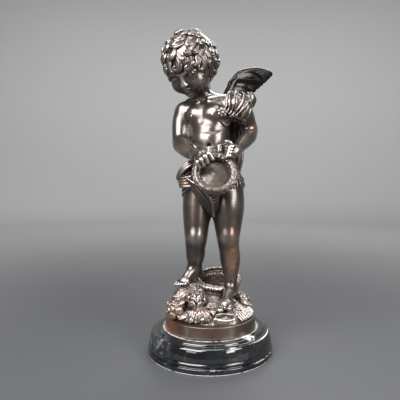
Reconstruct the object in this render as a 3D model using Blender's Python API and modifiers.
"""A winged boy holding a wreath, cast in bronze on a round flowery ground, on a turned marble socle.

Metres, +Z up, the boy's front towards -Y. The origin is the middle of the socle's underside.
The bronze is drawn in figure units: the figure, from the plinth's top to its highest curl, is
POSE_HEIGHT of them, so FIGURE_HEIGHT alone sets its real size.
"""

import math
import random

import bmesh
import bpy
import numpy as np
from mathutils import Matrix, Vector

# Driving dimensions, in metres.
SOCLE_DIAMETER = 0.130
SOCLE_HEIGHT = 0.025
SOCLE_TOP_DIAMETER = 0.110
PLINTH_DIAMETER = 0.094
PLINTH_HEIGHT = 0.0117
FIGURE_HEIGHT = 0.297
SEAT_GAP = 0.0003
PLINTH_EDGE_ROUNDING = 0.0008

# The moulding of the socle, from the foot up.
SOCLE_FOOT_HEIGHT = 0.0054
SOCLE_NOTCH_DEPTH = 0.0017
SOCLE_BEAD_HEIGHT = 0.0040
SOCLE_BEAD_DEPTH = 0.0009
SOCLE_SWELL_LEAN = 0.0037
SOCLE_LEDGE_HEIGHT = 0.0026
SOCLE_CHAMFER = 0.0006
SOCLE_SIDES = 40
PLINTH_SIDES = 40

# How finely the bronze is modelled.
CLAY_GRAIN = 0.00125
FIGURE_TRIANGLES = 7950
POSE_HEIGHT = 297.0
UNIT = FIGURE_HEIGHT / POSE_HEIGHT
GROUND_SPREAD = PLINTH_DIAMETER / 2 / UNIT

# The directions that the boy's chest, hips and head turn to, in degrees from straight ahead.
CHEST_TURN = -25.0
HEAD_TURN = -24.0
HEAD_BOW = 38.0
HEAD_ROLL = -5.0
HEAD_CENTRE = Vector((-21.0, -12.0, 259.6))
CHEST_CENTRE = Vector((-2.0, 1.0, 204.0))

WREATH_CENTRE = Vector((4.8, -38.0, 146.6))
WREATH_RADIUS = 18.6
WREATH_TILT = 22.0

BRONZE_COLOUR = (0.060, 0.042, 0.032)
MARBLE_COLOUR = (0.012, 0.013, 0.015)


def clear_scene():
    for obj in list(bpy.data.objects):
        bpy.data.objects.remove(obj, do_unlink=True)


def material(name, colour, roughness, metallic):
    made = bpy.data.materials.new(name)
    made.use_nodes = True
    shader = made.node_tree.nodes["Principled BSDF"]
    shader.inputs["Base Color"].default_value = (*colour, 1.0)
    shader.inputs["Roughness"].default_value = roughness
    shader.inputs["Metallic"].default_value = metallic
    return made


def smooth_path(stations, steps, closed=False):
    """Points (x, y, z, radius) along a smooth curve through the stations."""
    given = np.array(stations, float)
    if len(given) < 3 and not closed:
        return given
    count = len(given)
    spans = count if closed else count - 1
    made = []
    for i in range(spans):
        if closed:
            before, a, b, after = (given[(i + j) % count] for j in (-1, 0, 1, 2))
        else:
            before, a, b, after = (given[min(max(i + j, 0), count - 1)] for j in (-1, 0, 1, 2))
        for t in np.arange(steps) / steps:
            made.append(
                0.5
                * (
                    2 * a
                    + (b - before) * t
                    + (2 * before - 5 * a + 4 * b - after) * t * t
                    + (3 * a - before - 3 * b + after) * t * t * t
                )
            )
    if not closed:
        made.append(given[-1])
    return np.array(made)


def ball_depth(mass, points):
    """About how far each point lies outside an egg-shaped mass."""
    local = (points - mass["centre"]) @ mass["frame"]
    share = np.linalg.norm(local / mass["radii"], axis=1)
    slope = np.linalg.norm(local / mass["radii"] ** 2, axis=1)
    return share * (share - 1) / np.maximum(slope, 1e-9)


def limb_depth(mass, points, low, high):
    """How far each point lies outside a tapering form; only stretches near the box low-high count."""
    gap = np.full(len(points), 60.0)
    squeeze = mass["squeeze"]
    flowed = points if squeeze is None else points @ squeeze
    for a, b in zip(mass["path"][:-1], mass["path"][1:]):
        reach = max(a[3], b[3]) + 9.0
        if np.any(np.maximum(a[:3], b[:3]) + reach < low) or np.any(np.minimum(a[:3], b[:3]) - reach > high):
            continue
        start = a[:3] if squeeze is None else a[:3] @ squeeze
        along = (b[:3] if squeeze is None else b[:3] @ squeeze) - start
        away = flowed - start
        t = np.clip(away @ along / max(along @ along, 1e-9), 0, 1)
        away -= t[:, None] * along
        gap = np.minimum(gap, np.sqrt(np.einsum("ij,ij->i", away, away)) - a[3] - (b[3] - a[3]) * t)
    return gap * mass["share"]


def neighbourhoods(points, most):
    """Index lists that split the points into small groups of neighbours."""
    waiting = [np.arange(len(points))]
    while waiting:
        chosen = waiting.pop()
        if len(chosen) <= most:
            yield chosen
            continue
        axis = np.ptp(points[chosen], axis=0).argmax()
        order = chosen[np.argsort(points[chosen, axis])]
        waiting += [order[: len(order) // 2], order[len(order) // 2 :]]


def with_round_ends(path):
    """The path carried on past both ends so that the tube closes in half a ball."""
    ends = []
    for end, inner in ((path[0], path[1]), (path[-1], path[-2])):
        out = (end[:3] - inner[:3]) / max(np.linalg.norm(end[:3] - inner[:3]), 1e-9)
        angles = np.radians((30, 60, 84))
        ends.append([(*(end[:3] + out * end[3] * math.sin(a)), end[3] * math.cos(a)) for a in angles])
    return np.vstack([ends[0][::-1], path, ends[1]])


class Clay:
    """Rounded masses that run into each other, as a modeller presses lumps of clay together."""

    def __init__(self):
        self.masses = []

    def ball(self, centre, radii, turn=None, blend=4.0, cut=False):
        """An egg-shaped lump, or a hollow of that shape where cut is set."""
        radii = np.array([radii] * 3 if np.isscalar(radii) else radii, float)
        centre = np.array(centre, float)
        reach = radii.max() + blend + 3.0
        self.masses.append(
            {
                "kind": "ball",
                "centre": centre,
                "radii": radii,
                "frame": np.array(turn or Matrix.Identity(3), float),
                "blend": blend,
                "cut": cut,
                "low": centre - reach,
                "high": centre + reach,
            }
        )

    def limb(self, *stations, blend=4.0, steps=3, closed=False, flat=None):
        """A tapering round form through stations (x, y, z, radius). flat is a direction and the
        share of its thickness that the form keeps along it."""
        path = smooth_path(stations, steps, closed)
        if closed:
            path = np.vstack([path, path[:1]])
        squeeze = None
        share = 1.0
        if flat is not None:
            normal = np.array(Vector(flat[0]).normalized())
            share = flat[1]
            squeeze = np.identity(3) + np.outer(normal, normal) * (1 / share - 1)
        reach = path[:, 3:].max() * max(1, share) + blend + 3.0
        self.masses.append(
            {
                "kind": "limb",
                "path": path,
                "squeeze": squeeze,
                "share": share,
                "closed": closed,
                "blend": blend,
                "cut": False,
                "low": path[:, :3].min(0) - reach,
                "high": path[:, :3].max(0) + reach,
            }
        )

    def depth(self, points, masses):
        """How far each point lies outside the blended form; negative inside."""
        low, high = points.min(0), points.max(0)
        outside = np.full(len(points), 60.0)
        for mass in masses:
            gap = ball_depth(mass, points) if mass["kind"] == "ball" else limb_depth(mass, points, low, high)
            overlap = np.maximum(mass["blend"] - np.abs(outside + gap if mass["cut"] else outside - gap), 0)
            round_off = overlap**2 / (4 * mass["blend"])
            outside = np.maximum(outside, -gap) + round_off if mass["cut"] else np.minimum(outside, gap) - round_off
        return outside

    def settle(self, points, rounds):
        """Moves points onto the blended form's surface."""
        step = 0.12
        settled = points.copy()
        for chosen in neighbourhoods(points, 2500):
            there = points[chosen]
            low, high = there.min(0) - 2, there.max(0) + 2
            near = [m for m in self.masses if np.all(m["low"] < high) and np.all(m["high"] > low)]
            for _ in range(rounds):
                samples = np.concatenate([there] + [there + axis for axis in np.identity(3) * step])
                here, *beside = np.split(self.depth(samples, near), 4)
                slope = np.stack([(far - here) / step for far in beside], 1)
                move = here[:, None] * slope / np.maximum((slope**2).sum(1), 0.06)[:, None]
                length = np.linalg.norm(move, axis=1)
                there = there - move * np.minimum(1, 1.2 / np.maximum(length, 1e-9))[:, None]
            settled[chosen] = there
        return settled

    def raised(self, points, lift, snug):
        """Moves points that lie too deep out to lift above the skin, and with snug the others in to it."""
        step = 0.08
        low, high = points.min(0) - 6, points.max(0) + 6
        near = [m for m in self.masses if np.all(m["low"] < high) and np.all(m["high"] > low)]
        for _ in range(8):
            samples = np.concatenate([points] + [points + axis for axis in np.identity(3) * step])
            here, *beside = np.split(self.depth(samples, near), 4)
            slope = np.stack([(far - here) / step for far in beside], 1)
            gap = here - lift if snug else np.minimum(here - lift, 0)
            points = points - np.clip(gap, -3, 3)[:, None] * slope / np.maximum((slope**2).sum(1), 0.2)[:, None]
        return points

    def drape(self, skin, *stations, lift=0.6, snug=False, steps=4, closed=False, **settings):
        """A fold of cloth that lies on another clay's skin."""
        path = smooth_path(stations, steps, closed)
        path[:, :3] = skin.raised(path[:, :3], lift, snug)
        self.limb(*path, steps=1, closed=closed, **settings)

    def lumps(self):
        """The masses before blending, as one mesh of tubes and eggs that run through each other."""
        shape = bpy.data.curves.new("limbs", "CURVE")
        shape.dimensions = "3D"
        shape.bevel_depth = 1.0
        shape.bevel_resolution = 1
        shape.use_fill_caps = True
        for mass in self.masses:
            if mass["kind"] != "limb":
                continue
            path = mass["path"][:-1] if mass["closed"] else with_round_ends(mass["path"])
            spline = shape.splines.new("POLY")
            spline.points.add(len(path) - 1)
            spline.points.foreach_set("co", np.c_[path[:, :3], np.ones(len(path))].ravel())
            spline.points.foreach_set("radius", path[:, 3])
            spline.use_cyclic_u = mass["closed"]
        obj = bpy.data.objects.new("limbs", shape)
        bpy.context.scene.collection.objects.link(obj)
        tubes = bpy.data.meshes.new_from_object(obj.evaluated_get(bpy.context.evaluated_depsgraph_get()))
        bpy.data.objects.remove(obj)
        mesh = bmesh.new()
        for mass in self.masses:
            if mass["kind"] == "ball" and not mass["cut"]:
                place = Matrix.Translation(mass["centre"]) @ Matrix(mass["frame"]).to_4x4()
                place @= Matrix.Diagonal((*mass["radii"], 1.0))
                bmesh.ops.create_icosphere(mesh, subdivisions=3, radius=1.0, matrix=place)
        mesh.from_mesh(tubes)
        mesh.to_mesh(tubes)
        mesh.free()
        return tubes


def turn_about_z(degrees):
    return Matrix.Rotation(math.radians(degrees), 3, "Z")


def model_legs(clay):
    clay.ball((4, 3, 139), (25, 18, 19), blend=8)
    clay.ball((18, 13, 130), (14, 14, 14.5), blend=7)
    clay.ball((-5, 16, 130), (14, 14, 14.5), blend=7)
    clay.limb(
        (17.5, 5, 134, 17.6), (18.8, 1, 114, 17.2), (18.6, -1, 96, 14.8), (18.6, -3, 80, 12.0),
        (19.6, -2.5, 69, 10.8), (20.8, 0, 57, 10.2), (21.4, 1, 43, 8.0), (21.4, 0, 31, 6.2), (21, 0, 22, 6.4),
        blend=7, steps=7,
    )
    clay.ball((18.4, -11.0, 81), (6.6, 4.6, 6.8), blend=7)
    clay.ball((21.4, 4.5, 58), (7.8, 7.5, 13), blend=7)
    clay.limb(
        (-12.5, 6, 133, 16.2), (-14.2, 3.5, 112, 15.4), (-14.8, 0.5, 94, 13.6), (-15, -1.5, 79, 11.8),
        (-15.8, -0.5, 70, 10.4), (-16.2, 2, 61, 9.2), (-16.8, 4.5, 52, 6.8), (-17, 5.5, 45, 5.9),
        blend=7, steps=7,
    )
    clay.ball((-15.6, -9.2, 80.5), (6, 4.6, 6.4), blend=7)
    clay.ball((-15, 5, 62), (7.4, 7, 12), blend=7)


def model_feet(clay):
    # Each foot as its heel, ankle, the ball of the foot, and which side its outer edge lies.
    feet = (
        (Vector((21, 4, 18.4)), Vector((20.8, -1, 25)), Vector((15, -25, 15.6)), 1),
        (Vector((-14, 9.5, 41)), Vector((-17.5, 4.5, 45)), Vector((-27.5, -6.0, 34.6)), -1),
    )
    for heel, ankle, tread, side in feet:
        ahead = (tread - heel).normalized()
        across = ahead.cross(Vector((0, 0, 1))).normalized() * side
        over = across.cross(ahead) * side
        clay.ball(heel, (6.0, 6.0, 5.8), blend=4)
        arch = (ankle + tread) / 2 + over * 1.2
        clay.limb((*ankle, 6.2), (*arch, 5.4), (*tread, 3.9), blend=5, steps=5)
        clay.limb((*heel, 4.8), (*tread, 3.9), blend=4)
        clay.limb((*(tread - across * 3.6), 3.6), (*(tread + across * 3.6), 3.2), blend=3)
        for toe in range(5):
            root = tread + across * (toe * 2.5 - 5.2) + ahead * (1.6 - 0.5 * toe) - over * 0.6
            length = 6.0 - toe * 0.6
            size = 2.4 if toe == 0 else 1.85 - 0.1 * toe
            bend = root + ahead * length * 0.55 + over * 0.8
            clay.limb((*root, size), (*bend, size), (*(root + ahead * length), size * 0.92), blend=1.0, steps=2)


def model_trunk(clay):
    chest = turn_about_z(CHEST_TURN)
    clay.ball((1.5, -3, 166), (20.5, 18.5, 22), blend=9)
    clay.ball((-1.5, -6.5, 181), (18.5, 16.5, 16), turn=chest, blend=9)
    clay.ball((2, -9, 154), (19, 13, 13), blend=8)
    clay.ball(CHEST_CENTRE, (23.5, 16.5, 22), turn=chest, blend=9)
    clay.ball((-1, 0, 187), (21, 17, 17), turn=chest, blend=8)
    clay.limb(
        (-26, 10, 214.5, 9.6), (-12, 6, 219, 10.0), (0, 3, 221, 10.5), (15, -3, 220, 10.0), (27, -9, 218.5, 9.6),
        blend=8, steps=5,
    )
    for side, height in ((-1, 206.5), (1, 207.5)):
        breast = CHEST_CENTRE + chest @ Vector((side * 11, -9.6, 0))
        clay.ball((breast.x, breast.y, height + 1.5), (9.6, 7.4, 8.8), turn=chest, blend=5)
        blade = CHEST_CENTRE + chest @ Vector((side * 11, 11.5, 0))
        clay.ball((blade.x, blade.y, 211), (8, 5, 11), turn=chest, blend=6)
    clay.limb((-3, 4, 218, 11.5), (-8, 0, 229, 10.0), (-14, -5, 241, 9.8), blend=7, steps=5)


def model_arms(clay):
    clay.limb(
        (-27.5, 10.5, 213, 11.2), (-30.6, 9, 203, 10.4), (-31.6, 6.5, 192, 9.4), (-31.6, 3.5, 183, 8.6), (-30.6, 0, 177.5, 8.3),
        blend=5, steps=6,
    )
    clay.limb(
        (-31, 1.5, 179.5, 8.2), (-29, -6, 175.3, 8.3), (-22.5, -19, 169, 7.2), (-14.5, -31.5, 163.6, 5.3),
        blend=4, steps=6,
    )
    clay.limb(
        (28, -9.5, 217, 11.2), (33.6, -7, 210, 10.6), (38.3, -1, 202, 9.3), (41.2, 4, 194, 8.4), blend=5, steps=6,
    )
    clay.limb(
        (41.2, 4, 194, 8.3), (40.6, -2, 187, 8.4), (36, -12, 181, 7.6), (30, -22, 174, 6.0), (26, -28, 169.5, 5.0),
        blend=4, steps=6,
    )


def model_hands(clay):
    # His right hand closes over the wreath from above.
    clay.limb((-14.5, -31.5, 163.4, 5.2), (-11.5, -36, 164.2, 5.3), (-8.5, -39.5, 164.4, 5.0), blend=3)
    fingers = (
        ((-6.5, -41.5, 166.8), (-1.2, -45.2, 164.4), (2.4, -44.8, 159.4)),
        ((-9.0, -42.0, 164.8), (-4.8, -46.2, 161.4), (-2.2, -45.6, 156.2)),
        ((-11.4, -41.4, 162.4), (-8.4, -45.8, 158.6), (-6.2, -45.2, 153.8)),
        ((-13.4, -40.2, 160.2), (-11.8, -44.2, 156.2), (-9.8, -43.8, 152.0)),
    )
    for root, knuckle, tip in fingers:
        clay.limb((*root, 2.5), (*knuckle, 2.35), (*tip, 1.9), blend=1.4, steps=3)
    clay.limb((-12.5, -35, 160.5, 2.8), (-9.5, -35, 156.5, 2.4), (-6.5, -36.5, 153.5, 2.1), blend=1.6, steps=2)
    # His left hand lies on the bunched cloth beside the wreath.
    clay.limb((26, -28, 169.5, 5.0), (24.6, -30.5, 168.4, 5.4), (23.0, -32, 166.6, 5.0), blend=3)
    for finger in range(4):
        root = Vector((24.5 - finger * 0.9, -33.0 - finger * 0.5, 172.0 - finger * 3.0))
        middle = root + Vector((-4.2, -3.0, 0.2))
        tip = middle + Vector((-3.6, 1.6, -2.2))
        clay.limb((*root, 2.4), (*middle, 2.25), (*tip, 1.85), blend=1.4, steps=3)
    clay.limb((22.5, -30.5, 172, 2.7), (19.4, -31.5, 176, 2.4), (15.8, -32, 177.5, 2.0), blend=1.6, steps=2)


def head_frame():
    turn = Matrix.Rotation(math.radians(HEAD_TURN), 3, "Z")
    bow = Matrix.Rotation(math.radians(HEAD_BOW), 3, "X")
    roll = Matrix.Rotation(math.radians(HEAD_ROLL), 3, "Y")
    return turn @ bow @ roll


def model_head(clay):
    frame = head_frame()

    def at(x, y, z):
        return HEAD_CENTRE + frame @ Vector((x, y, z))

    def lump(x, y, z, radii, blend, cut=False):
        clay.ball(at(x, y, z), radii, turn=frame, blend=blend, cut=cut)

    def ridge(*stations, blend):
        clay.limb(*[(*at(*station[:3]), station[3]) for station in stations], blend=blend, steps=4)

    lump(0, 2, 3, (24.5, 26.5, 25), 6)
    lump(0, -9, -9, (19, 16, 17.5), 7)
    lump(0, -9, -17.5, (14.5, 12.5, 9.5), 7)
    lump(0, -19.5, -23.5, (5.2, 4.8, 4.2), 5)
    for side in (-1, 1):
        lump(side * 10.5, -17.5, -13.5, (7.5, 6.6, 7.2), 6)
        lump(side * 8.8, -26.6, -4.2, (4.6, 3.0, 2.8), 4, cut=True)
        lump(side * 8.6, -21.6, -4.4, (4.4, 3.7, 3.2), 1.4)
        ridge((side * 3.5, -25.0, -0.6, 1.3), (side * 9, -24.6, 0.4, 1.4), (side * 14, -21.0, -1.4, 1.1), blend=3)
        lump(side * 2.5, -26.8, -11.6, (1.9, 2.0, 1.7), 1.8)
        lump(side * 23.5, 2, -8, (3, 5.5, 7), 2)
    ridge((0, -24.6, -1.5, 2.2), (0, -26.6, -6, 2.2), (0, -28.4, -10.6, 2.5), blend=3.5)
    ridge((-4.8, -23.8, -16.6, 0.9), (0, -25.8, -15.6, 1.5), (4.8, -23.8, -16.6, 0.9), blend=1.6)
    ridge((-4.0, -23.8, -17.8, 0.9), (0, -25.2, -18.8, 1.6), (4.0, -23.8, -17.8, 0.9), blend=1.6)


def on_skull(spot, height):
    """A point of the head's own frame, moved to a height over the skull."""
    centre = Vector((0, 3, 3))
    way = spot - centre
    share = Vector((way.x / 24.3, way.y / 25.9, way.z / 24.9)).length
    return centre + way / share + way.normalized() * height


def hair_lock(clay, frame, way, flow, spin, length, tight, lift):
    """A lock that leaves the skull along flow and rolls up into a curl."""
    way = Vector(way).normalized()
    spot = on_skull(Vector((0, 3, 3)) + way * 25, 0)
    ahead = (Vector(flow) - way * Vector(flow).dot(way)).normalized()
    stations = []
    count = 9
    for step in range(count):
        t = step / (count - 1)
        up = (spot - Vector((0, 3, 3))).normalized()
        ahead = (ahead - up * ahead.dot(up)).normalized()
        ahead = Matrix.Rotation(spin * tight / count * 2 * t, 3, up) @ ahead
        spot = on_skull(spot + ahead * length / count * (1.15 - 0.5 * t), 0)
        height = lift + 0.6 + 2.6 * math.sin(math.pi * 0.5 * min(1, t * 1.5))
        thick = 1.7 + 1.3 * math.sin(math.pi * min(1, 0.15 + t))
        stations.append((*(HEAD_CENTRE + frame @ on_skull(spot, height)), thick))
    clay.limb(*stations, blend=0.7, steps=1)


def model_hair(clay):
    """Tousled locks that leave the crown, and rolled curls round the face."""
    frame = head_frame()
    shuffled = random.Random(11)
    crown = Vector((0.1, 0.55, 0.85))
    clay.ball(HEAD_CENTRE + frame @ Vector((0, 5.5, 7.5)), (25.4, 25.0, 22.6), turn=frame, blend=1.5)
    count = 84
    for i in range(count):
        height = 1 - 2 * (i + 0.5) / count
        around = i * math.pi * (3 - math.sqrt(5))
        flat = math.sqrt(1 - height * height)
        way = Vector((flat * math.sin(around), -flat * math.cos(around), height))
        # The hairline runs high over the brow, down over the ears and low on the nape.
        front = math.atan2(way.x, -way.y) / math.pi
        if way.z < 0.42 - 1.30 * min(1, abs(front) * 2.2):
            continue
        scatter = Vector((shuffled.uniform(-1, 1), shuffled.uniform(-1, 1), shuffled.uniform(-1, 1)))
        spin = shuffled.choice((-1, 1))
        hair_lock(clay, frame, way, way - crown + scatter * 0.7, spin, shuffled.uniform(16, 21), 5.2, 0.2)
    for way, flow, spin, length, lift in (
        ((-0.62, -0.72, 0.36), (-0.2, -0.3, -1), 1, 20, 1.2), ((-0.30, -0.93, 0.42), (-0.3, 0, -1), 1, 20, 1.4),
        ((0.05, -0.98, 0.46), (0.3, 0, -1), -1, 20, 1.4), ((0.40, -0.88, 0.36), (0.4, 0, -1), -1, 20, 1.2),
        ((0.75, -0.6, 0.26), (0.3, 0.1, -1), -1, 22, 1.4), ((0.98, -0.12, -0.1), (0, 0.1, -1), 1, 22, 1.6),
        ((-0.98, -0.2, 0.1), (0, 0.1, -1), -1, 20, 1.4), ((0.95, 0.25, -0.45), (0, 0.3, -1), -1, 18, 1.0),
        ((0.1, 0.35, 0.9), (-1, -0.4, 0.1), 1, 15, 0.9), ((0.15, 0.7, 0.72), (1, 0.1, 0), -1, 15, 0.8),
        ((0.0, 0.05, 1.0), (0.4, -1, 0), 1, 16, 0.6), ((0.35, 0.15, 0.92), (1, -0.6, 0), -1, 16, 0.5),
        ((-0.4, 0.1, 0.9), (-1, -0.5, 0), 1, 16, 0.5),
    ):
        hair_lock(clay, frame, way, flow, spin, length, 5.2, lift)


def wing_masses(clay, place):
    """One wing: its arm, and rows of feathers that start on the arm and lie over each other."""
    face = place(Vector((-0.43, 0.90, 0.02))) - place(Vector((0, 0, 0)))
    arm = [(13, 13, 214, 5.5), (17, 16, 228, 5.4), (22.5, 19.5, 242, 4.6), (29, 23, 254, 3.6), (35, 25.5, 259, 2.6)]
    clay.limb(*[(*place(Vector(p[:3])), p[3]) for p in arm], blend=3, steps=4, flat=(face, 0.75))
    edge = [(29, 22, 254, 2.4), (35, 24.5, 260.5, 2.7), (47, 30, 264.8, 2.3), (59, 36, 266.2, 1.9), (69, 40, 265.4, 1.5)]
    clay.limb(*[(*place(Vector(p[:3])), p[3]) for p in edge], blend=1.5, steps=4, flat=(face, 0.8))
    rows = (
        # The first and last feather's root and tip, how many feathers, their width and lift, the bow of the tips.
        ((35, 25, 259), (24, 20, 246), (70.0, 41.0, 263.4), (50, 32, 244), 5, 5.4, 0.0, 2.5),
        ((24, 20, 246), (16, 16, 224), (47, 30.5, 243), (27, 22, 218), 4, 5.2, 0.0, 2.0),
        ((31, 22.6, 254), (15, 15, 222), (52, 32.5, 254), (25, 20, 222), 4, 5.0, -1.4, 2.0),
        ((33, 25, 259), (15, 17, 222), (56, 35, 259), (26, 22, 220), 6, 4.8, 1.5, 3.0),
        ((32, 25, 258), (15, 17, 224), (44, 29.4, 258), (22, 20, 224), 5, 4.4, 2.8, 1.5),
    )
    for start_a, start_b, tip_a, tip_b, count, wide, lift, bow in rows:
        for i in range(count):
            t = i / (count - 1)
            start = Vector(start_a).lerp(Vector(start_b), t)
            tip = Vector(tip_a).lerp(Vector(tip_b), t) + Vector((0.86, 0.41, -0.3)) * bow * math.sin(math.pi * t)
            middle = start.lerp(tip, 0.55) + Vector((0, 0, 1.8 * (1 - t)))
            raised = Vector((-0.43, 0.90, 0)) * lift
            clay.limb(
                (*place(start + raised), wide * 0.75),
                (*place(middle + raised), wide),
                (*place(tip + raised), wide * 0.62),
                blend=0.6, flat=(face, 0.34), steps=4,
            )


def model_wings(clay):
    wing_masses(clay, lambda p: p)
    left = turn_about_z(CHEST_TURN) @ Vector((1, 0, 0))

    def mirrored(p):
        flat = Vector((p.x - CHEST_CENTRE.x, p.y - CHEST_CENTRE.y, 0))
        return p - 2 * flat.dot(left) * left

    wing_masses(clay, mirrored)


def model_wreath_hollow(clay):
    # The smooth hollow of cloth that shows inside the wreath.
    tilt = Matrix.Rotation(math.radians(-WREATH_TILT), 3, "X")
    wide = WREATH_RADIUS + 1.9
    clay.ball(WREATH_CENTRE + tilt @ Vector((0, 6.5, 0)), (wide, 8, wide), turn=tilt, blend=1.2)
    clay.ball(WREATH_CENTRE + tilt @ Vector((0, -2, 0)), (WREATH_RADIUS, 9, WREATH_RADIUS), turn=tilt, blend=0.8, cut=True)


def model_wreath(clay):
    tilt = Matrix.Rotation(math.radians(-WREATH_TILT), 3, "X")
    ahead = tilt @ Vector((0, -1, 0))
    ring = []
    for i in range(24):
        turn = 2 * math.pi * i / 24
        spot = WREATH_CENTRE + tilt @ Vector((math.cos(turn), 0, math.sin(turn))) * WREATH_RADIUS
        ring.append((*spot, 3.2))
    clay.limb(*ring, blend=1.5, steps=1, closed=True, flat=(ahead, 1.15))
    leaves = 20
    for i in range(leaves):
        turn = 2 * math.pi * i / leaves
        radial = tilt @ Vector((math.cos(turn), 0, math.sin(turn)))
        along = tilt @ Vector((-math.sin(turn), 0, math.cos(turn)))
        spot = WREATH_CENTRE + radial * (WREATH_RADIUS - 2.0) + ahead * 2.2
        way = (along - radial * 0.4).normalized()
        start, end = spot - way * 2.4, spot + way * 2.8
        clay.limb((*start, 1.5), (*spot, 2.0), (*end, 1.0), blend=0.6, steps=1)


def folds(clay, skin, rows, count, size, lift=0.6, blend=1.0, snug=False):
    """Folds of cloth on the skin, side by side, that each cross the same rows, given by their two ends."""
    for i in range(count):
        t = i / (count - 1)
        wide = size * (1 + 0.18 * math.sin(i * 2.4))
        route = []
        for n, (a, b) in enumerate(rows):
            share = 0.75 if n == 0 else 0.85 if n == len(rows) - 1 else 1.0
            route.append((*Vector(a).lerp(Vector(b), t), wide * share))
        clay.drape(skin, *route, lift=lift, snug=snug, blend=blend)


def model_shoulder_cloth(clay, skin):
    # A fan of folds in front, gathered in a knot on the breast.
    front = (((22, 4, 231), (37, -2, 230)), ((20, -12, 223), (40, -9, 219)), ((15, -20, 213), (39, -15, 208)))
    folds(clay, skin, (*front, ((10, -22, 206), (36, -16, 200))), 5, 2.8, lift=0.3, snug=True)
    inner = (((22, -6, 228), (33, -5, 230)), ((18, -17, 218), (33, -15, 216)), ((12, -22, 208), (26, -20, 205)))
    folds(clay, skin, inner, 4, 1.7, lift=2.2, blend=0.8)
    clay.ball((12, -19, 208.5), (6.4, 4.0, 6.4), blend=0.8)
    clay.ball((12.5, -22, 207.6), (3.0, 2.6, 3.0), blend=0.5)
    hem = (((8, -20, 204), (11, -20, 200)), ((20, -20, 201), (20, -19, 197)), ((35, -14, 201), (32, -13, 197)))
    folds(clay, skin, hem, 2, 2.5, lift=0.8, snug=True)
    # The fall behind the arm, and the puff that stands out beyond the shoulder.
    folds(clay, skin, (((20, 6, 231), (36, 3, 229)), ((19, 17, 210), (38, 13, 207)), ((18, 18, 178), (37, 13, 176))), 5, 3.0)
    folds(clay, skin, (((18, 18, 186), (36, 13, 184)), ((21, 20, 165), (34, 13, 163)), ((21, 21, 146), (30, 14, 144))), 4, 2.9)
    clay.ball((43, 10, 228.5), (6.2, 4.8, 7.8), blend=1.5)
    clay.ball((47, 12, 224), (3.6, 3.4, 4.6), blend=1.5)


def model_hip_cloth(clay, skin):
    # Round the hips, in rolls that sag behind.
    waist = (
        (33, -5, 163), (25, -18, 167), (12, -23, 169), (-4, -23, 166), (-17, -16, 158),
        (-22, -4, 153), (-21, 12, 150), (-8, 21, 149), (10, 23, 151), (27, 14, 158),
    )
    for roll, (drop, size) in enumerate(((0, 2.1), (4.4, 2.3), (9.2, 2.2), (14.4, 2.3), (20, 2.1))):
        ring = []
        for i, (x, y, z) in enumerate(waist):
            back = max(0, y) / 23
            fall = drop * (1 + 0.5 * back) + 1.5 * math.sin(i * 1.3 + roll * 0.9)
            ring.append((x, y, z - fall, size * (0.85 + 0.35 * back)))
        clay.drape(skin, *ring, lift=0.25, snug=True, blend=1.1, steps=5, closed=True)
    # A smooth stretch over the belly, seen through the wreath.
    clay.ball((4, -8, 145), (20.5, 19.5, 19), blend=1.5)
    # The loincloth: folds that sweep from his right hip to the crotch, loops under the wreath, and one that hangs.
    sweep = (
        ((-29, -9, 146), (-20, -20, 139)), ((-21, -14, 133), (-8, -24, 131)),
        ((-9, -14, 118), (1, -23, 119)), ((-1, -12, 107), (3, -17, 108)),
    )
    folds(clay, skin, sweep, 4, 2.2, lift=0.8, blend=0.6)
    for i in range(4):
        drop = 4.2 * i
        clay.drape(
            skin, (-12 + i * 2.8, -22 + i * 0.8, 136 - drop, 1.6), (-1 + i * 0.7, -24.4 + i * 1.5, 128 - drop, 2.0),
            (9 - i * 1.2, -23 + i * 1.3, 130 - drop, 1.9), (17 - i * 2.6, -22.5 + i * 1.0, 138 - drop, 1.4),
            lift=1.0, blend=0.8, steps=4,
        )
    clay.ball((2, -10, 119), (8, 6.5, 14), blend=3)
    clay.limb((4, -21.5, 132, 2.0), (2.5, -20, 122, 2.3), (2.8, -17.5, 112, 2.2), (3.6, -14.5, 103, 1.8), blend=0.6)
    # The end that hangs out over his right hip, in a loop over a folded tail.
    clay.ball((-24, -6, 146), (6, 4.5, 9), blend=1.5)
    for i in range(2):
        clay.limb(
            (-17, -13 - i * 0.6, 160 - i * 3.4, 1.8), (-24, -13 - i * 0.4, 157 - i * 4.2, 2.3),
            (-31, -11, 150 - i * 3.8, 2.4), (-34 + i * 0.6, -9, 142.5 - i * 2.0, 2.0), blend=0.7, steps=4,
        )
    for i in range(3):
        clay.limb(
            (-32.4 + i * 0.6, -9 - i * 0.5, 140 - i * 3.2, 1.9), (-27, -12 - i * 0.4, 141 - i * 3.6, 2.3),
            (-20, -15 - i * 0.4, 142.5 - i * 4.2, 2.1), blend=0.6, steps=4,
        )
    # The bunch between his hands, in creased folds, and the gathers that fall from it at his left hip.
    clay.ball((8, -24, 166), (13, 4.6, 5), blend=2)
    for i in range(2):
        clay.limb(
            (-7, -26 + i * 0.8, 165.5 + i * 4.4, 1.8), (-1, -28.6 + i * 0.8, 168.6 + i * 3.6, 2.3),
            (5, -28.2 + i * 0.8, 167 + i * 4.6, 2.0), (11, -29.0 + i * 0.8, 170.6 + i * 3.8, 2.4),
            (17, -28.8 + i * 0.6, 170.6 + i * 4.6, 2.0), (22, -28, 173 + i * 4.0, 1.8), blend=0.7, steps=3,
        )
    gathers = (
        ((24, -27, 166), (34, -12, 168)), ((28, -22, 156), (37, -8, 158)),
        ((27, -18, 143), (35.5, -5, 146)), ((26, -16, 132), (34, -4, 137)),
    )
    folds(clay, skin, gathers, 3, 1.9, lift=0.3, blend=0.9, snug=True)


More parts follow.
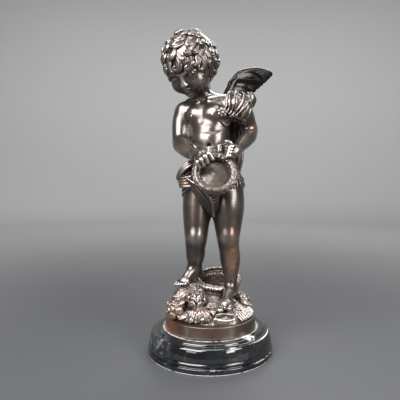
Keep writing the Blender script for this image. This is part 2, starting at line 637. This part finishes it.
def model_ground(clay):
    reach = GROUND_SPREAD
    clay.ball((0, 2, -7), (0.95 * reach, 0.94 * reach, 20), blend=5)
    clay.ball((-20, 3, 14), (17, 17, 19.5), blend=6)
    clay.ball((-28, -7, 12), (12.5, 13, 18.5), blend=5)
    clay.ball((2, -8, 5), (19, 19, 16), blend=6)
    clay.ball((19, -10, -2), (16, 26, 13.5), blend=5)
    clay.ball((12, 21, 2), (26, 19, 16), blend=5)
    # Broken rock round his right foot, and loose stones.
    for i in range(7):
        out = turn_about_z(196 + i * 19) @ Vector((1, 0, 0))
        top = Vector((-21, 1, 30)) + out * 6
        foot = Vector((-21, 1, 14)) + out * 18
        clay.limb((*top, 2.8), (*foot, 3.4), blend=0.9, steps=1)
    for x, y, z, size in ((-38, 6, 14, 5), (-30, 16, 14, 7), (4, -24, 11, 5), (-4, -12, 18, 5), (28, -12, 10, 5)):
        clay.ball((x, y, z), (size, size * 0.8, size * 0.7), turn=turn_about_z(x * 7), blend=1.2)


def model_basket(clay):
    """Coils of straw, wider towards the rim, tipped towards the viewer."""
    tip = Matrix.Rotation(math.radians(15), 3, "X")
    centre = Vector((8.6, 20, 29))
    coils = ((-16, 18.0, 2.6), (-12, 19.2, 2.5), (-8, 20.1, 2.4), (-4.4, 20.9, 2.3), (-1.0, 22.0, 2.1), (2.6, 23.6, 2.4))
    for height, radius, size in coils:
        ring = []
        for i in range(28):
            turn = 2 * math.pi * i / 28
            spot = centre + tip @ Vector((math.cos(turn) * radius, math.sin(turn) * radius, height))
            ring.append((*spot, size))
        clay.limb(*ring, blend=1.0 if height > 0 else 2.6, steps=1, closed=True)


def rose(clay, centre, size, up):
    """A full-blown rose: a bud in two rings of cupped petals."""
    up = Vector(up).normalized()
    side = up.cross(Vector((0.3, 0.9, 0.1))).normalized()
    other = up.cross(side)
    clay.ball(Vector(centre) + up * size * 0.45, size * 0.34, blend=0.8)
    for petals, out, rise, big in ((4, 0.42, 0.28, 0.42), (6, 0.78, 0.0, 0.46)):
        for i in range(petals):
            turn = 2 * math.pi * (i + 0.5 * (petals == 6)) / petals
            way = side * math.cos(turn) + other * math.sin(turn)
            spot = Vector(centre) + way * out * size + up * rise * size
            clay.limb(
                (*(spot - up * size * 0.2), size * big), (*(spot + up * size * 0.25 + way * size * 0.1), size * big * 0.9),
                blend=0.5, steps=1, flat=(way + up * 0.4, 0.42),
            )


def leaf(clay, root, tip, width, up):
    """A pointed leaf with a raised rib."""
    root, tip = Vector(root), Vector(tip)
    middle = root.lerp(tip, 0.45) + Vector(up) * width * 0.35
    clay.limb((*root, width * 0.35), (*middle, width), (*tip, width * 0.15), blend=0.6, steps=4, flat=(up, 0.34))
    lift = Vector(up).normalized() * width * 0.3
    clay.limb((*(root + lift), 0.7), (*(middle + lift), 0.8), (*tip, 0.4), blend=0.5, steps=3)


def model_flowers(clay):
    reach = GROUND_SPREAD
    roses = (
        ((-14, -21, 20), 9.4, (0.1, -0.8, 1)),
        ((-0.755 * reach, -20.5, 10.5), 9.6, (-0.6, -0.7, 0.8)),
        ((0.76 * reach, 2, 12), 6.5, (0.8, -0.3, 0.8)),
        ((-4, 0.82 * reach, 7), 7.5, (0, 0.8, 0.9)),
        ((-0.62 * reach, 0.50 * reach, 11), 7.0, (-0.7, 0.6, 0.8)),
        ((0.56 * reach, 0.62 * reach, 9), 6.5, (0.7, 0.6, 0.8)),
    )
    for centre, size, up in roses:
        rose(clay, centre, size, up)
    # A ruffled flower at the front, in pleats that fan from its heart, and a dish of a leaf beside it.
    heart = Vector((-11, -0.66 * reach, 12))
    for i in range(9):
        out = turn_about_z(186 + i * 21) @ Vector((1, 0, 0))
        out.y *= 0.62
        middle = heart + out * 8.5 + Vector((0, 0, -2.0))
        end = heart + out * 14.6 + Vector((0, 1.5, -8.5))
        clay.limb((*heart, 1.6), (*middle, 2.2), (*end, 2.0), blend=0.5, steps=2)
    clay.ball(heart + Vector((0, 1, -1)), (8, 5.5, 4.5), blend=1.0)
    ring = []
    for i in range(20):
        out = turn_about_z(18 * i) @ Vector((1, 0, 0))
        ring.append((14.5 + out.x * 9.4, -0.777 * reach + out.y * 4.4, 7 + out.y * 1.6, 1.7))
    clay.limb(*ring, blend=1.0, steps=1, closed=True)
    leaves = (
        ((-27, -15, 23), (-42, -12, 20), 3.4, (-0.3, -0.6, 1)),
        ((-26, -17, 20), (-42.5, -17, 16), 3.6, (-0.3, -0.6, 1)),
        ((-22, -31, 8), (-31, -34, 4), 4.0, (-0.4, -0.7, 0.8)),
        ((27, 10, 17), (39, 10, 17), 3.2, (0.5, -0.3, 1)),
    )
    for root, tip, width, up in leaves:
        leaf(clay, root, tip, width, up)
    for turn in (-42, -30, -18, -6, 14, 34, 52, 74, 90, 110, 128, 148, 164, 182, 200):
        way = turn_about_z(turn) @ Vector((1, 0, 0))
        root = way * 0.62 * reach + Vector((0, 0, 11))
        leaf(clay, root, way * 0.95 * reach + Vector((0, 0, 2.4)), 4.0, way * 0.8 + Vector((0, 0, 1)))


def vertex_places(mesh):
    places = np.empty(len(mesh.vertices) * 3, np.float32)
    mesh.vertices.foreach_get("co", places)
    return places.reshape(-1, 3).astype(float)


def place_vertices(mesh, places):
    mesh.vertices.foreach_set("co", places.astype(np.float32).ravel())
    mesh.update()


def largest_body(mesh):
    """Keeps the outer skin and drops any bubble closed inside it."""
    whole = bmesh.new()
    whole.from_mesh(mesh)
    whole.verts.ensure_lookup_table()
    unseen = set(whole.verts)
    bodies = []
    while unseen:
        first = unseen.pop()
        body = [first]
        for vertex in body:
            for edge in vertex.link_edges:
                other = edge.other_vert(vertex)
                if other in unseen:
                    unseen.remove(other)
                    body.append(other)
        bodies.append(body)
    bodies.sort(key=len)
    for body in bodies[:-1]:
        bmesh.ops.delete(whole, geom=body, context="VERTS")
    whole.to_mesh(mesh)
    whole.free()
    return mesh


def finished(obj, kind, **settings):
    """The object's mesh after one modifier."""
    modifier = obj.modifiers.new(kind.lower(), kind)
    for name, value in settings.items():
        setattr(modifier, name, value)
    made = bpy.data.meshes.new_from_object(obj.evaluated_get(bpy.context.evaluated_depsgraph_get()))
    obj.modifiers.clear()
    obj.data = made


def cut_flat(mesh, height):
    """Cuts the mesh off level at a height and closes it there."""
    solid = bmesh.new()
    solid.from_mesh(mesh)
    bmesh.ops.bisect_plane(
        solid, geom=solid.verts[:] + solid.edges[:] + solid.faces[:], dist=0.0001,
        plane_co=(0, 0, height), plane_no=(0, 0, 1), clear_inner=True,
    )
    rim = [edge for edge in solid.edges if edge.is_boundary]
    bmesh.ops.holes_fill(solid, edges=rim, sides=len(rim))
    bmesh.ops.triangulate(solid, faces=[face for face in solid.faces if len(face.verts) > 4])
    solid.to_mesh(mesh)
    solid.free()


def modelled_figure():
    """The figure, its wings, cloth, wreath and ground, as one skin of FIGURE_TRIANGLES."""
    skin = Clay()
    for step in (model_legs, model_trunk, model_arms):
        step(skin)
    clay = Clay()
    for step in (model_legs, model_feet, model_trunk, model_arms):
        step(clay)
    # The hollow is cut into the cloth before the hands and the wreath lie over it.
    model_hip_cloth(clay, skin)
    model_wreath_hollow(clay)
    for step in (model_hands, model_head, model_hair, model_wings, model_wreath):
        step(clay)
    model_shoulder_cloth(clay, skin)
    for step in (model_ground, model_basket, model_flowers):
        step(clay)
    obj = bpy.data.objects.new("winged_boy", clay.lumps())
    bpy.context.scene.collection.objects.link(obj)
    finished(obj, "REMESH", mode="VOXEL", voxel_size=CLAY_GRAIN / UNIT)
    place_vertices(obj.data, clay.settle(vertex_places(obj.data), 4))
    largest_body(obj.data)
    corners = sum(len(face.vertices) - 2 for face in obj.data.polygons)
    finished(obj, "DECIMATE", ratio=FIGURE_TRIANGLES / corners, use_collapse_triangulate=True)
    cut_flat(obj.data, -0.3 * PLINTH_HEIGHT / UNIT)
    obj.data.transform(Matrix.Translation((0, 0, SOCLE_HEIGHT + SEAT_GAP + PLINTH_HEIGHT)) @ Matrix.Scale(UNIT, 4))
    return obj


def revolved(name, profile, sides):
    """A turned solid from its half profile, (radius, height) from the foot up."""
    mesh = bmesh.new()
    points = [mesh.verts.new((radius, 0, height)) for radius, height in profile]
    edges = [mesh.edges.new(pair) for pair in zip(points[:-1], points[1:])]
    data = bpy.data.meshes.new(name)
    mesh.to_mesh(data)
    mesh.free()
    obj = bpy.data.objects.new(name, data)
    bpy.context.scene.collection.objects.link(obj)
    finished(
        obj, "SCREW", steps=sides, render_steps=sides, use_merge_vertices=True, merge_threshold=0.00001,
        use_normal_calculate=True,
    )
    return obj


def quarter_round(centre, radii, start, end, count):
    """Points of a moulding's arc, by its centre, its radius and height, and two angles in degrees."""
    turns = [math.radians(start + (end - start) * i / count) for i in range(count + 1)]
    return [(centre[0] + radii[0] * math.cos(t), centre[1] + radii[1] * math.sin(t)) for t in turns]


def model_socle():
    foot = SOCLE_DIAMETER / 2
    top = SOCLE_TOP_DIAMETER / 2
    notch = foot - SOCLE_NOTCH_DEPTH
    bead_low = SOCLE_FOOT_HEIGHT + 0.0003
    bead_high = bead_low + SOCLE_BEAD_HEIGHT
    bead = foot - SOCLE_BEAD_DEPTH
    swell_low = bead_high + 0.0004
    swell_high = SOCLE_HEIGHT - SOCLE_LEDGE_HEIGHT
    shoulder = bead - SOCLE_SWELL_LEAN
    profile = [(0, 0), (foot - SOCLE_CHAMFER, 0), (foot, SOCLE_CHAMFER)]
    profile += quarter_round((foot - 0.0012, SOCLE_FOOT_HEIGHT - 0.0009), (0.0012, 0.0009), 0, 90, 2)
    profile += [(notch, SOCLE_FOOT_HEIGHT + 0.0002)]
    profile += quarter_round(
        (bead - 0.0016, (bead_low + bead_high) / 2), (0.0016, SOCLE_BEAD_HEIGHT / 2), -55, 55, 3
    )
    profile += [(notch - 0.0003, bead_high)]
    for share, bulge in ((0, 0), (0.3, 0.0004), (0.6, 0.0007), (0.85, 0.0006), (0.97, 0.0002)):
        lean = bead - 0.0003 - (SOCLE_SWELL_LEAN - 0.0003) * share
        profile.append((lean + bulge, swell_low + (swell_high - swell_low) * share))
    profile += [(shoulder - 0.0005, swell_high), (top + 0.0012, swell_high + 0.0002)]
    profile += quarter_round((top - 0.0010, swell_high + 0.0005), (0.0019, SOCLE_LEDGE_HEIGHT - 0.0005), 0, 90, 3)
    profile += [(0, SOCLE_HEIGHT)]
    return revolved("marble_socle", profile, SOCLE_SIDES)


def model_plinth():
    low = SOCLE_HEIGHT + SEAT_GAP
    high = low + PLINTH_HEIGHT
    edge = PLINTH_DIAMETER / 2
    profile = [(0, low), (edge - PLINTH_EDGE_ROUNDING / 2, low), (edge, low + PLINTH_EDGE_ROUNDING / 2)]
    profile += quarter_round((edge - PLINTH_EDGE_ROUNDING, high - PLINTH_EDGE_ROUNDING), (PLINTH_EDGE_ROUNDING,) * 2, 0, 90, 2)
    profile += [(0, high)]
    return revolved("plinth", profile, PLINTH_SIDES)


def main():
    clear_scene()
    home = bpy.data.collections.new("winged_boy_with_wreath")
    bpy.context.scene.collection.children.link(home)
    figure = modelled_figure()
    plinth = model_plinth()
    finished(figure, "BOOLEAN", operation="UNION", solver="EXACT", object=plinth)
    bpy.data.objects.remove(plinth)
    socle = model_socle()
    figure.data.materials.clear()
    figure.data.materials.append(material("bronze", BRONZE_COLOUR, 0.38, 0.9))
    socle.data.materials.append(material("marble", MARBLE_COLOUR, 0.12, 0.0))
    for obj in (figure, socle):
        bpy.context.scene.collection.objects.unlink(obj)
        home.objects.link(obj)
        obj.data.name = obj.name


if __name__ == "__main__":
    main()
